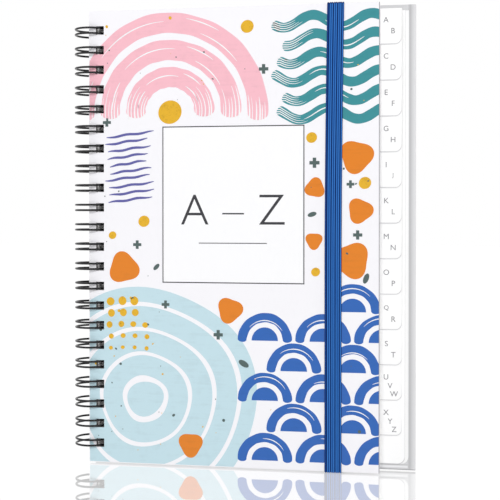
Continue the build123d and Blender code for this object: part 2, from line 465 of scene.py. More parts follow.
def foil_finish(name, colour):
    """Crinkled foil, mottled and partly metallic, with a fine broken sparkle."""
    material, tree = start_finish(name, Roughness=0.36, Metallic=0.4)
    specks = grain(tree, 2200.0)
    mixed = blended(tree, specks, grain(tree, 380.0))
    paint = tones(tree, mixed, colour, 0.7, 1.22, 0.36, 0.64)
    return coat(material, paint, (specks, 0.26, 0.5), (mixed, 0.35, 0.03))


# Meshes

def add_object(name, data):
    """A new object in the scene."""
    item = bpy.data.objects.new(name, data)
    bpy.context.scene.collection.objects.link(item)
    return item


def place_piece(name, builder, material, body, slot, smooth=False):
    """Makes a piece of the finished bmesh that rides on a body and takes the given finish. Its slot is not
    used.
    """
    bmesh.ops.recalc_face_normals(builder, faces=builder.faces)
    mesh = bpy.data.meshes.new(name)
    builder.to_mesh(mesh)
    builder.free()
    mesh.polygons.foreach_set("use_smooth", [smooth] * len(mesh.polygons))
    mesh.materials.append(material)
    piece = add_object(name, mesh)
    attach(piece, body)
    return piece


def dress_node(name, material):
    """Gives a CAD node its finish."""
    node = frame["nodes"][name]
    if not node.material_slots:
        node.data.materials.append(material)
    for holder in node.material_slots:
        holder.link = "OBJECT"
        holder.material = material


def flat_faces(faces, level):
    """Faces, given as lists of (x, z) places in metres, in a new bmesh at y = level."""
    builder = bmesh.new()
    for places in faces:
        builder.faces.new([builder.verts.new((x, level, z)) for x, z in places])
    bmesh.ops.remove_doubles(builder, verts=builder.verts, dist=WELD)
    return builder


def thicken(builder, height):
    """Turns flat faces into a closed film that reaches height along Y, which may be negative."""
    grown = bmesh.ops.extrude_face_region(builder, geom=builder.faces[:])
    lifted = [item for item in grown["geom"] if isinstance(item, bmesh.types.BMVert)]
    bmesh.ops.translate(builder, verts=lifted, vec=(0.0, height, 0.0))
    return builder


def rectangle(left, bottom, right, top):
    """A rectangle's corners."""
    return [(left, bottom), (right, bottom), (right, top), (left, top)]


def outline(left, bottom, right, top, width):
    """Four mitred strips along the inside of a rectangle."""
    outer = rectangle(left, bottom, right, top)
    inner = rectangle(left + width, bottom + width, right - width, top - width)
    return [list(corners) for corners in zip(outer, outer[1:] + outer[:1], inner[1:] + inner[:1], inner)]


def loop_heights(wire):
    """Height of each loop's middle."""
    middle = (WIRE_LOW.z + WIRE_HIGH.z) / 2
    return [middle + (i - (wire.loops - 1) / 2) * wire.pitch for i in range(wire.loops)]


def cut(builder, faces, place, normal, drop=False):
    """Splits faces along a plane, and drops what lies on the normal's side if asked to."""
    geometry = dict.fromkeys(item for face in faces for item in (face, *face.edges, *face.verts))
    bmesh.ops.bisect_plane(builder, geom=list(geometry), dist=WELD / 10, plane_co=place, plane_no=normal,
                           clear_outer=drop)


def trim_to_cover(builder, margin):
    """Drops what reaches past the front cover's edges, less a bare margin."""
    low = FRONT_LOW + Vector((margin, 0.0, margin))
    high = FRONT_HIGH - Vector((margin, 0.0, margin))
    for place, normal in ((low, (-1, 0, 0)), (low, (0, 0, -1)), (high, (1, 0, 0)), (high, (0, 0, 1))):
        cut(builder, builder.faces[:], place, normal, drop=True)


def punch(builder, wire):
    """Opens flat faces over the row of punched holes."""
    left = FRONT_LOW.x + wire.hole_margin
    right = left + wire.hole_width

    def strip():
        return [face for face in builder.faces if left < face.calc_center_median().x < right]

    for side in (left, right):
        cut(builder, builder.faces[:], (side, FRONT_LOW.y, 0.0), (1, 0, 0))
    for height in loop_heights(wire):
        bottom = height - wire.hole_height / 2
        top = height + wire.hole_height / 2
        for side in (bottom, top):
            cut(builder, strip(), (0.0, FRONT_LOW.y, side), (0, 0, 1))
        inside = [face for face in strip() if bottom < face.calc_center_median().z < top]
        bmesh.ops.delete(builder, geom=inside, context="FACES")


def curve_mesh(line):
    """The surface of a curve or of letters as a bmesh. The curve itself isn't kept."""
    holder = bpy.data.objects.new(line.name, line)
    mesh = bpy.data.meshes.new_from_object(holder)
    bpy.data.objects.remove(holder)
    bpy.data.curves.remove(line)
    builder = bmesh.new()
    builder.from_mesh(mesh)
    bpy.data.meshes.remove(mesh)
    return builder


def letter_film(text, capital, thickness, place, thinner=0.0):
    """Letters as a closed film that faces -Y, with the middle of its back at a place."""
    half_depth = 0.5
    line = bpy.data.curves.new("letters", "FONT")
    line.body = text
    line.align_x = "CENTER"
    line.extrude = half_depth
    line.offset = -thinner
    line.resolution_u = 6
    builder = curve_mesh(line)
    low = min(v.co.y for v in builder.verts)
    high = max(v.co.y for v in builder.verts)
    size = capital / (high - low)
    bmesh.ops.translate(builder, verts=builder.verts, vec=(0.0, -(low + high) / 2, half_depth))
    bmesh.ops.scale(builder, verts=builder.verts, vec=(size, size, thickness))
    bmesh.ops.remove_doubles(builder, verts=builder.verts, dist=capital / 2000)
    bmesh.ops.rotate(builder, verts=builder.verts, matrix=Matrix.Rotation(radians(90), 3, "X"))
    bmesh.ops.translate(builder, verts=builder.verts, vec=place)
    return builder


def join(builder, other):
    """Adds another bmesh to this one."""
    scratch = bpy.data.meshes.new("scratch")
    other.to_mesh(scratch)
    other.free()
    builder.from_mesh(scratch)
    bpy.data.meshes.remove(scratch)


# Motifs of the print, in millimetres from the cover's lower left corner

def fan(centre, rim):
    """Triangles from a centre to each stretch of a rim."""
    return [[centre, a, b] for a, b in zip(rim, rim[1:])]


def spot(centre, radius, squeeze=1.0, turn=0.0, lobes=0, swell=0.0, steps=48):
    """A round, oval or lobed spot as a fan of triangles."""
    rim = []
    for step in range(steps):
        angle = radians(360 * step / steps)
        reach = radius * (1 + swell * cos(lobes * angle))
        across = reach * cos(angle)
        along = reach * sin(angle) * squeeze
        rim.append((centre[0] + across * cos(turn) - along * sin(turn),
                    centre[1] + across * sin(turn) + along * cos(turn)))
    return fan(centre, rim + rim[:1])


def spots(places, squeeze, lobes=0, swell=0.0):
    """Like spots at places given as (x, z, radius, turn)."""
    faces = []
    for x, z, radius, turn in places:
        faces += spot((x, z), radius, squeeze, turn, lobes, swell)
    return faces


def stroke(points, widths):
    """A strip of quads along points, with a width at each. Ends that meet close up."""
    left, right = [], []
    last = len(points) - 1
    touching = 0.001
    closed = dist(points[0], points[last]) < touching
    for i, (x, z) in enumerate(points):
        before = points[last - 1 if closed and i == 0 else max(i - 1, 0)]
        after = points[1 if closed and i == last else min(i + 1, last)]
        length = hypot(after[0] - before[0], after[1] - before[1])
        across = -(after[1] - before[1]) / length * widths[i] / 2
        along = (after[0] - before[0]) / length * widths[i] / 2
        left.append((x + across, z + along))
        right.append((x - across, z - along))
    return [[right[i], right[i + 1], left[i + 1], left[i]] for i in range(last)]


def streak(points, width, start=0.5, end=0.5):
    """A stroke that swells from a thin start to full width and thins again, as given by two shares."""
    least = 0.02
    shares = [i / (len(points) - 1) for i in range(len(points))]
    rises = [min(1.0, (s + least) / start) if start else 1.0 for s in shares]
    falls = [min(1.0, (1 + least - s) / end) if end else 1.0 for s in shares]
    return stroke(points, [width * sqrt(rise * fall) for rise, fall in zip(rises, falls)])


def blunt_end(tip, inner, width):
    """Points and widths that round off a stroke past its tip, from the tip outwards."""
    bulge = 0.3
    length = dist(tip, inner)
    way = ((tip[0] - inner[0]) / length, (tip[1] - inner[1]) / length)
    places, widths = [], []
    for angle in (20, 40, 55, 70, 80, 87):
        reach = bulge * width * sin(radians(angle))
        places.append((tip[0] + way[0] * reach, tip[1] + way[1] * reach))
        widths.append(width * cos(radians(angle)))
    return places, widths


def brushed(points, width):
    """A hand-drawn stroke of a nearly even width with blunt ends."""
    head, head_widths = blunt_end(points[0], points[1], width)
    tail, tail_widths = blunt_end(points[-1], points[-2], width)
    even = [width * (1 + 0.025 * sin(0.9 * i) + 0.02 * sin(0.37 * i + 1)) for i in range(len(points))]
    return stroke(head[::-1] + points + tail, head_widths[::-1] + even + tail_widths)


def arc(centre, radius, start, end, count, wobble=0.0, phase=0.0):
    """Points along an arc between two angles in degrees, a little uneven if asked to be."""
    points = []
    for i in range(count + 1):
        angle = radians(start + (end - start) * i / count)
        reach = radius * (1 + wobble * (sin(3 * angle + phase) + 0.5 * sin(5 * angle - phase)))
        points.append((centre[0] + reach * cos(angle), centre[1] + reach * sin(angle)))
    return points


def arches():
    """Nested arches at the top left, each drawn with one broad stroke that runs dry at its ends."""
    chance = random.Random(3)
    centre = (36.0, 150.5)
    brush = 8.6
    solid, bare = [], []
    for number, radius in enumerate((15.0, 26.5, 38.0)):
        uneven = (0.006, number)
        ends = (2 - 2 * number, 179 + number)
        solid += brushed(arc(centre, radius, *ends, 64, *uneven), brush)
        for end, way in zip(ends, (1, -1)):
            for lane in range(6):
                reach = radius - 3.4 + 1.35 * lane + chance.uniform(-0.3, 0.3)
                first = end - way * 180 / radius
                last = end + way * chance.uniform(180, 620) / radius
                line = arc(centre, reach, first, last, 14, *uneven)
                bare += streak(line, chance.uniform(0.3, 0.7), 0.0, 0.9)
        for shift, first, last in ((-2.1, 18, 58), (0.6, 76, 132), (2.4, 40, 70), (-0.9, 140, 172)):
            line = arc(centre, radius + shift, first + 9 * number, last + 5 * number, 20, *uneven)
            bare += streak(line, 0.55)
    return solid, bare


def waves():
    """Wavy strokes at the top right, running off the edge."""
    rows, row_height, brush = 6, 7.7, 4.1
    length, steps, swing = 44.0, 60, 2.5
    solid, bare = [], []
    for row in range(rows):
        height = 149.0 + row_height * row
        start = 83.5 + 2.6 * sin(2.1 * row)
        places = [start + length * i / steps for i in range(steps + 1)]
        points = [(x, height + swing * sin(x / 3.9 + 0.35 * row)) for x in places]
        solid += brushed(points, brush)
        for lane in (-1.3, -0.4, 0.5, 1.4):
            dry = [(x, z + lane) for x, z in points[:9 + 2 * ((row * 3 + round(5 * lane)) % 5)]]
            dry.insert(0, (dry[0][0] - 1.4, dry[0][1]))
            bare += streak(dry, 0.38, 0.0, 0.9)
        bare += streak([(x, z + 0.5 * sin(row)) for x, z in points[14 + 3 * row:34 + 3 * row]], 0.5)
    return solid, bare


def contour_rings():
    """A pebble of nested rings at the bottom left, cut by the cover's corner."""
    centre = (25.0, 28.0)
    solid = spot(centre, 8.2, 0.9, 0.4, 3, 0.04)
    for radius, width in ((14.4, 8.6), (24.8, 8.8), (35.4, 8.9), (45.0, 6.4)):
        points = arc(centre, radius, 0, 360, 96, 0.022, 0.7)
        solid += stroke(points, [width] * len(points))
    return solid


def scallops():
    """Rows of half discs at the bottom right, each with a bare band and a core."""
    rows, columns = 6, 3
    pitch, row_height = 24.6, 12.6
    rim, core, brush = 9.7, 5.6, 3.9
    solid, bare = [], []
    for row in range(rows):
        for column in range(columns):
            if row == rows - 1 and column != 1:
                continue
            centre = (77.0 + pitch * column + pitch / 2 * (row % 2), 3.5 + row_height * row)
            solid += brushed(arc(centre, rim, 3, 177, 40, 0.008, row + column), brush)
            solid += fan(centre, arc(centre, core, 0, 180, 30))
            middle = 9.2 + 0.9 * sin(row + 2 * column)
            bare += streak(arc(centre, middle, 30 + 12 * column, 95 + 11 * row, 16), 0.42)
    return solid, bare


def hatching():
    """Slanting pencil lines at the left, beside the panel."""
    chance = random.Random(5)
    rows, row_height, steps, pencil = 10, 3.1, 12, 1.05
    solid = []
    for row in range(rows):
        start = (8.4 + chance.uniform(-1.2, 1.2), 112.0 + row_height * row)
        end = (27.6 + chance.uniform(-2.4, 1.6), 114.6 + row_height * row)
        points = [(start[0] + (end[0] - start[0]) * i / steps,
                   start[1] + (end[1] - start[1]) * i / steps + 0.25 * sin(i + row))
                  for i in range(steps + 1)]
        solid += streak(points, pencil, 0.25, 0.3)
    return solid


def rounded_triangles():
    """Cut-out triangles with rounded corners, scattered clear of the panel."""
    places = ((115.5, 131.0, 6.6, 0.3), (98.2, 118.0, 4.0, 1.4), (117.0, 108.5, 5.0, 2.2),
              (113.5, 88.0, 7.2, 0.9), (15.5, 84.0, 6.4, 1.8), (62.0, 66.5, 5.2, 0.2),
              (97.8, 96.0, 3.4, 0.5), (45.0, 9.0, 5.0, 2.6))
    return spots(places, 1.0, lobes=3, swell=0.13)


def dots():
    """A fading grid of dots by the spine, and a few larger ones elsewhere."""
    faces = []
    for row in range(5):
        for column in range(4):
            centre = (9.6 + 5.3 * column + 0.5 * sin(row * 2.3), 69.5 + 0.4 * sin(column) - 5.0 * row)
            if row > 1 or column < 3:
                faces += spot(centre, 1.75 - 0.22 * row, 1.0 + 0.1 * sin(row + column))
    larger = ((119.0, 120.0, 2.6, 0.6), (96.8, 139.0, 2.3, 0.6), (98.5, 83.0, 1.9, 0.6),
              (36.0, 150.5, 5.2, 0.6), (69.5, 186.0, 2.8, 0.6), (24.5, 104.0, 2.5, 0.6),
              (10.5, 98.0, 1.7, 0.6))
    return faces + spots(larger, 0.94)


def crosses():
    """Small upright crosses and seed-shaped pebbles."""
    faces = []
    for x, z, reach in ((98.0, 128.5, 2.1), (116.0, 98.5, 1.9), (113.0, 119.5, 1.6), (76.5, 168.0, 2.0),
                        (21.5, 94.0, 1.8), (57.0, 56.0, 2.0), (34.0, 68.5, 1.7), (8.0, 146.5, 1.8)):
        half = 0.34 * reach
        for left, right in ((-half, half), (-reach, -half), (half, reach)):
            faces.append(rectangle(x + left, z - half, x + right, z + half))
        for bottom, top in ((-reach, -half), (half, reach)):
            faces.append(rectangle(x - half, z + bottom, x + half, z + top))
    pebbles = ((119.5, 80.5, 2.2, 1.2), (97.0, 107.0, 1.9, 0.3), (82.0, 185.5, 2.3, 2.2),
               (30.0, 84.5, 1.7, 0.8), (68.0, 44.0, 2.4, 2.6))
    return faces + spots(pebbles, 0.5)


def flecks(seed, count):
    """Fine splashes all over the cover, clear of the panel."""
    chance = random.Random(seed)
    steps = 12
    faces = []
    while len(faces) < steps * count:
        x, z = chance.uniform(3, 122), chance.uniform(3, 191)
        radius = 0.2 + 0.55 * chance.random() ** 3
        squeeze = chance.uniform(0.5, 1.0)
        turn = chance.uniform(0, 3)
        by_panel = 30 < x < 96 and 75 < z < 147
        if not by_panel:
            faces += spot((x, z), radius, squeeze, turn, steps=steps)
    return faces


def print_layers():
    """The faces of each ink, from the lowest to the highest."""
    arch_solid, arch_bare = arches()
    wave_solid, wave_bare = waves()
    scallop_solid, scallop_bare = scallops()
    return {
        "aqua": contour_rings(),
        "pink": arch_solid,
        "teal": wave_solid,
        "blue": scallop_solid,
        "indigo": hatching(),
        "orange": rounded_triangles(),
        "gold": dots() + flecks(11, 26),
        "charcoal": crosses() + flecks(4, 44),
        "chalk": arch_bare + wave_bare + scallop_bare,
    }


def on_cover(faces):
    """Faces in millimetres from the cover's lower left corner, in metres in the book's frame."""
    return [[(FRONT_LOW.x + x * MM, FRONT_LOW.z + z * MM) for x, z in places] for places in faces]


class ADDRESSBOOK_OT_covers(bpy.types.Operator):
    """Give boards, wraps and linings their finishes"""
    bl_idname = "addressbook.covers"
    bl_label = "Dress Covers"

    def execute(self, context):
        covers = context.scene.address_book.covers
        board = board_finish("greyboard", covers.board)
        lining = paper_finish("lining_paper", covers.lining, 0.8, fibre=1400.0, contrast=0.035, relief=0.3)
        # Painted shade on the wraps' edges and feet
        shares = (covers.fore_edge, 1.0, covers.head_edge)
        front = paper_finish("satin_wrap", covers.wrap, 0.42, edges=(shares, covers.front_foot))
        back = paper_finish("satin_back_wrap", covers.back, 0.42, edges=(shares, covers.back_foot))
        for side, wrap in (("front", front), ("back", back)):
            dress_node(side + "_cover_wrap", wrap)
            dress_node(side + "_cover_board", board)
            dress_node(side + "_cover_lining", lining)
        return {"FINISHED"}


class ADDRESSBOOK_OT_cover_print(bpy.types.Operator):
    """Lay each ink of the print on the front cover as a thin film"""
    bl_idname = "addressbook.cover_print"
    bl_label = "Print Cover"

    def execute(self, context):
        settings = context.scene.address_book
        inks = settings.inks
        for level, (ink, faces) in enumerate(print_layers().items(), start=1):
            builder = flat_faces(on_cover(faces), FRONT_LOW.y)
            trim_to_cover(builder, inks.margin)
            punch(builder, settings.wire)
            thicken(builder, -level * inks.step)
            if ink == "gold":
                finish = foil_finish("gold_foil", inks.gold)
            else:
                finish = ink_finish(ink + "_ink", getattr(inks, ink), tilt=0.5 * level)
            place_piece(ink + "_print", builder, finish, *ON_FRONT)
        return {"FINISHED"}


class ADDRESSBOOK_OT_painted_shade(bpy.types.Operator):
    """Lay thin strips of painted shade and light on the covers, along folds and beside and under the leaves
    """
    bl_idname = "addressbook.wear"
    bl_label = "Wear Covers"

    def execute(self, context):
        settings = context.scene.address_book
        covers = settings.covers
        rim = settings.inks.margin
        leaf_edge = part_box("end_leaf")[1].x
        fold = paper_finish("rubbed_fold", covers.fold, 0.6, contrast=0.12)
        side_shade = painted_shade_finish("rubbed_back_wrap", covers.back, "X", leaf_edge, BACK_HIGH.x, SIDE_PAINTED_SHADE)
        foot_shade = painted_shade_finish("rubbed_foot", covers.back, "Z", BACK_LOW.z, LEAF_LOW.z, FOOT_PAINTED_SHADE)
        # Painted shade lines along the front cover's fore-edge and the back cover's foot, and painted shade
        # and light beside and under the leaves
        fore_edge = rectangle(FRONT_HIGH.x - rim, FRONT_LOW.z, FRONT_HIGH.x, FRONT_HIGH.z)
        foot = rectangle(BACK_LOW.x, BACK_LOW.z, BACK_HIGH.x, BACK_LOW.z + rim)
        beside_leaves = rectangle(leaf_edge - rim, BACK_LOW.z + rim, BACK_HIGH.x, BACK_HIGH.z)
        under_leaves = rectangle(BACK_LOW.x, BACK_LOW.z + rim, leaf_edge - rim, LEAF_LOW.z)
        for name, strip, level, finish, holder in (
                ("front_cover_fold", fore_edge, FRONT_LOW.y, fold, ON_FRONT),
                ("back_cover_fold", foot, BACK_LOW.y, fold, ON_BACK),
                ("back_cover_rub", beside_leaves, BACK_LOW.y, side_shade, ON_BACK),
                ("back_cover_foot_rub", under_leaves, BACK_LOW.y, foot_shade, ON_BACK)):
            place_piece(name, thicken(flat_faces([strip], level), -settings.inks.step), finish, *holder)
        return {"FINISHED"}


class ADDRESSBOOK_OT_label(bpy.types.Operator):
    """Print the white panel with its border, generic mark and rule"""
    bl_idname = "addressbook.label"
    bl_label = "Print Label"

    def execute(self, context):
        settings = context.scene.address_book
        label = settings.label
        step = settings.inks.step
        ground = (len(print_layers()) + 1) * step
        face = FRONT_LOW.y - ground
        left = FRONT_LOW.x + label.left
        bottom = FRONT_LOW.z + label.bottom
        right = left + label.width
        top = bottom + label.height
        middle = (left + right) / 2
        panel = thicken(flat_faces([rectangle(left, bottom, right, top)], FRONT_LOW.y), -ground)
        place_piece("label_panel", panel, paper_finish("label_white", label.paper, 0.45), *ON_FRONT)

        ink = ink_finish("label_ink", label.ink)
        rule = rectangle(middle - label.rule_length / 2, bottom + label.rule_rise - label.rule_width / 2,
                         middle + label.rule_length / 2, bottom + label.rule_rise + label.rule_width / 2)
        border = outline(left, bottom, right, top, label.border)
        place_piece("label_lines", thicken(flat_faces(border + [rule], face), -step), ink, *ON_FRONT)

        centre = (middle, face, bottom + label.mark_rise)
        mark = letter_film(label.mark, label.mark_height, step, centre, thinner=0.016)
        place_piece("label_mark", mark, ink, *ON_FRONT)
        return {"FINISHED"}


class ADDRESSBOOK_OT_twin_wire(bpy.types.Operator):
    """Bend one round wire into the hairpin loops of the binding"""
    bl_idname = "addressbook.twin_wire"
    bl_label = "Bend Twin Wire"

    def execute(self, context):
        wire = context.scene.address_book.wire
        line = bpy.data.curves.new("twin_wire_loops", "CURVE")
        line.dimensions = "3D"
        line.bevel_depth = wire.diameter / 2
        line.bevel_resolution = 4
        line.use_fill_caps = True
        points = wire_route(wire)
        spline = line.splines.new("POLY")
        spline.points.add(len(points) - 1)
        for knot, place in zip(spline.points, points):
            knot.co = (*place, 1.0)
        builder = curve_mesh(line)
        bmesh.ops.remove_doubles(builder, verts=builder.verts, dist=WELD)
        nylon = wire_finish("black_nylon_wire", wire.colour)
        piece = place_piece("twin_wire_loops", builder, nylon, "back_cover", "black_wire", smooth=True)
        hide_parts("twin_wire")
        return {"FINISHED"}


def wire_route(wire):
    """Points along the wire: out round each loop, across its tip, back, and along to the next loop."""
    def at(angle, height):
        return (RING_AXIS.x + wire.radius * cos(angle), RING_AXIS.y + wire.radius * sin(angle), height)

    half_turn = [radians(15 * step - 90) for step in range(13)]
    runs = 44
    foot = wire.bend / wire.radius
    tip_radius = wire.spacing / 2
    nose = tip_radius / wire.radius
    first = wire.base + foot
    last = wire.tip - nose
    around = [first + (last - first) * step / runs for step in range(1, runs)]
    feet = [(wire.base + foot * (1 - cos(t)), wire.bend * (1 - sin(t))) for t in QUARTER_TURN]
    points = []
    for height in loop_heights(wire):
        low = height - tip_radius
        high = height + tip_radius
        points += [at(angle, low - drop) for angle, drop in feet]
        points += [at(angle, low) for angle in around]
        points += [at(last + nose * cos(t), height + tip_radius * sin(t)) for t in half_turn]
        points += [at(angle, high) for angle in reversed(around)]
        points += [at(angle, high + rise) for angle, rise in reversed(feet)]
    return points


class ADDRESSBOOK_OT_elastic_band(bpy.types.Operator):
    """Lay the ribbed elastic round the closed book, with its tails inside the back cover"""
    bl_idname = "addressbook.elastic_band"
    bl_label = "Lay Elastic Band"

    def execute(self, context):
        band = context.scene.address_book.band
        middle = (BAND_LOW.x + BAND_HIGH.x) / 2
        profile = rib_profile(BAND_HIGH.x - BAND_LOW.x, band.thickness, band.ribs)
        route = band_route(band)
        builder = bmesh.new()
        crest = builder.verts.layers.float.new(CREST_LIGHT)
        rings = []
        for i, (y, z) in enumerate(route):
            before = route[max(i - 1, 0)]
            after = route[min(i + 1, len(route) - 1)]
            along = (after - before).normalized()
            side = middle + band.lean * slip(y, z)
            # Painted shade where the band folds over the front cover's head
            in_fold_shade = z > FRONT_HIGH.z - band.corner / 2 and y < FRONT_LOW.y + band.lift
            ring = []
            for x, height, share in profile:
                vertex = builder.verts.new((side + x, y + along.y * height, z - along.x * height))
                vertex[crest] = FOLD_SHADE_SHARE * share if in_fold_shade else share
                ring.append(vertex)
            rings.append(ring)
        for ring, following in zip(rings, rings[1:]):
            for k in range(len(profile)):
                n = (k + 1) % len(profile)
                builder.faces.new((ring[k], ring[n], following[n], following[k]))
        builder.faces.new(rings[0])
        builder.faces.new(rings[-1])
        elastic = elastic_finish("ribbed_elastic", band)
        piece = place_piece("elastic_band_ribbed", builder, elastic, "back_cover", "blue_elastic",
                            smooth=True)
        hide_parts("elastic_band")
        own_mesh(piece)
        return {"FINISHED"}


def rib_profile(width, thickness, ribs):
    """Section of the band as (across, height, crest share): cords in pairs outside, and flat inside."""
    steps = 2 * (len(DEEP_RISE) - 1)
    count = ribs * steps
    section = []
    for k in range(count + 1):
        groove = round(k / steps)
        rise = SHALLOW_RISE if groove in range(2, ribs, 2) else DEEP_RISE
        height, share = rise[abs(k - groove * steps)]
        # Painted shade: the first cord keeps less of the crest highlight
        if k < steps:
            share *= SHADED_SIDE_SHARE
        section.append((width * (k / count - 0.5), thickness * height, share))
    inner = width * 0.98
    for k in range(ribs + 1):
        section.append((inner * (0.5 - k / ribs), 0.0, SHADED_SIDE_SHARE))
    return section


def band_route(band):
    """Places (y, z) along the band's inner side, from one tail to the other, with rounded corners."""
    front = FRONT_LOW.y - band.lift
    back = BACK_HIGH.y + band.lift
    top = BACK_HIGH.z + band.lift
    bottom = BACK_LOW.z - band.lift
    inside = BACK_BOARD_LOW.y + band.lift / 3
    high = BACK_HIGH.z - band.slit_inset + band.thickness / 2
    low = BACK_LOW.z + band.slit_inset - band.thickness / 2
    corners = [(inside, high - band.tail), (inside, high), (back, high), (back, top), (front, top),
               (front, bottom), (back, bottom), (back, low), (inside, low), (inside, low + band.tail)]
    radii = [band.slit_bend] + [band.corner] * 6 + [band.slit_bend]
    points = [Vector(corners[0])]
    for before, corner, after, radius in zip(corners, corners[1:], corners[2:], radii):
        here = Vector(corner)
        start = here + (Vector(before) - here).normalized() * radius
        end = here + (Vector(after) - here).normalized() * radius
        centre = start + end - here
        points += [centre + (start - centre) * cos(t) + (end - centre) * sin(t) for t in QUARTER_TURN]
    points.append(Vector(corners[-1]))
    longest = 10 * MM
    dense = points[:1]
    for start, end in zip(points, points[1:]):
        count = ceil(dist(start, end) / longest)
        dense += [start.lerp(end, step / count) for step in range(1, count + 1)]
    return dense


def slip(y, z):
    """Share of the band's lean at a place: it grows up the front, and ends behind the cover's head."""
    if y > FRONT_LOW.y:
        return max(0.0, 1 - (y - FRONT_LOW.y) / (BACK_HIGH.y - FRONT_LOW.y)) if z > FRONT_HIGH.z else 0.0
    straight = 0.45
    swerve = 1.6
    height = (z - FRONT_LOW.z) / (FRONT_HIGH.z - FRONT_LOW.z)
    return max(0.0, (height - straight) / (1 - straight)) ** swerve


class ADDRESSBOOK_OT_leaves(bpy.types.Operator):
    """Stack each group of leaves from its separate sheets"""
    bl_idname = "addressbook.leaves"
    bl_label = "Stack Leaves"

    def execute(self, context):
        leaves = context.scene.address_book.leaves
        paper = paper_finish("writing_paper", leaves.paper, 0.75, fibre=1600.0, contrast=0.01, relief=0.2)
        for node in LETTER_NODES:
            self.stack(node, leaves.sheets, leaves.gap, paper)
        self.stack("leaves_notes", leaves.notes, leaves.gap, paper)
        dress_node("end_leaf", paper_finish("end_paper", leaves.end_paper, 0.7, fibre=1200.0, relief=0.2))
        return {"FINISHED"}

    def stack(self, node, count, gap, paper):
        """Thin copies of the node's own outline, one behind the other in its space."""
        low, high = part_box(node)
        sheet = (high.y - low.y - gap * (count - 1)) / count
        builder = bmesh.new()
        for number in range(count):
            start = len(builder.verts)
            builder.from_mesh(frame["nodes"][node].data)
            builder.verts.ensure_lookup_table()
            for vertex in builder.verts[start:]:
                share = (vertex.co.y - low.y) / (high.y - low.y)
                vertex.co.y = low.y + number * (sheet + gap) + share * sheet
        bmesh.ops.remove_doubles(builder, verts=builder.verts, dist=WELD)
        piece = place_piece(node + "_sheets", builder, paper, node, "writing_paper")
        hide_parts(node)


class ADDRESSBOOK_OT_index_letters(bpy.types.Operator):
    """Print each tab's letters, stepping down towards the fore-edge"""
    bl_idname = "addressbook.index_letters"
    bl_label = "Print Index Letters"

    def execute(self, context):
        leaves = context.scene.address_book.leaves
        ink = ink_finish("index_ink", leaves.letter_ink)
        for number, node in enumerate(LETTER_NODES):
            letters = node.removeprefix("leaves_").upper()
            top = LEAF_HIGH.z - number * leaves.letter_pitch
            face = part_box(node)[0].y
            builder = bmesh.new()
            for letter, (right, down) in zip(letters, LETTER_STEPS[len(letters)]):
                place = (FRONT_HIGH.x + right * MM, face, top - down * MM)
                join(builder, letter_film(letter, leaves.capital, leaves.film, place))
            place_piece(node + "_letters", builder, ink, node, "writing_paper")
        return {"FINISHED"}


class ADDRESSBOOK_OT_tab_shade_lines(bpy.types.Operator):
    """Lay a grey hairline along the lower edge and round the corner of each tab and of the blank sheets:
    painted shade at each sheet's edge
    """
    bl_idname = "addressbook.tab_lines"
    bl_label = "Print Tab Lines"

    def execute(self, context):
        leaves = context.scene.address_book.leaves
        ink = ink_finish("hairline_ink", leaves.hairline_ink)
        inset = leaves.hairline / 2
        for number, node in enumerate(LETTER_NODES + ["leaves_notes"]):
            low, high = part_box(node)
            if node in LETTER_NODES:
                bottom = LEAF_HIGH.z - (number + 1) * leaves.tab
                corner, end, fade = leaves.tab_corner, bottom + 0.5 * leaves.tab, TAB_FADE
            else:
                bottom = low.z
                corner, end, fade = leaves.plain_corner, high.z, PLAIN_FADE
            points = [(FRONT_HIGH.x - leaves.hidden, bottom + inset)]
            points += arc((high.x - corner, bottom + corner), corner - inset, -90, 0, 12)
            points.append((high.x - inset, end))
            shares = [1.0] * (len(points) - len(fade)) + list(fade)
            line = flat_faces(stroke(points, [leaves.hairline * share for share in shares]), low.y)
            place_piece(node + "_tab_line", thicken(line, -leaves.film), ink, node, "writing_paper")
        return {"FINISHED"}


class ADDRESSBOOK_OT_page_ruling(bpy.types.Operator):
    """Rule both outer pages of each letter group for its entries"""
    bl_idname = "addressbook.page_ruling"
    bl_label = "Rule Pages"

    def execute(self, context):
        leaves = context.scene.address_book.leaves
        ink = ink_finish("ruling_ink", leaves.ruling_ink)
        lines = self.ruling(leaves)
        for node in LETTER_NODES:
            low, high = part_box(node)
            pages = thicken(flat_faces(lines, low.y), -leaves.film)
            join(pages, thicken(flat_faces(lines, high.y), leaves.film))
            place_piece(node + "_ruling", pages, ink, node, "writing_paper")
        return {"FINISHED"}

    def ruling(self, leaves):
        """Writing lines of a page, with a stronger line over each entry."""
        left = FRONT_LOW.x + leaves.spine_margin
        right = FRONT_HIGH.x - leaves.side_margin
        top = LEAF_HIGH.z - leaves.head_margin
        entry = (top - (LEAF_LOW.z + leaves.foot_margin)) / leaves.entries
        faces = []
        for number in range(leaves.entries):
            head = top - number * entry
            faces.append(rectangle(left, head - 3 * leaves.line_width, right, head))
            for line in range(1, leaves.lines + 1):
                height = head - line * entry / (leaves.lines + 1)
                faces.append(rectangle(left, height - leaves.line_width, right, height))
        return faces


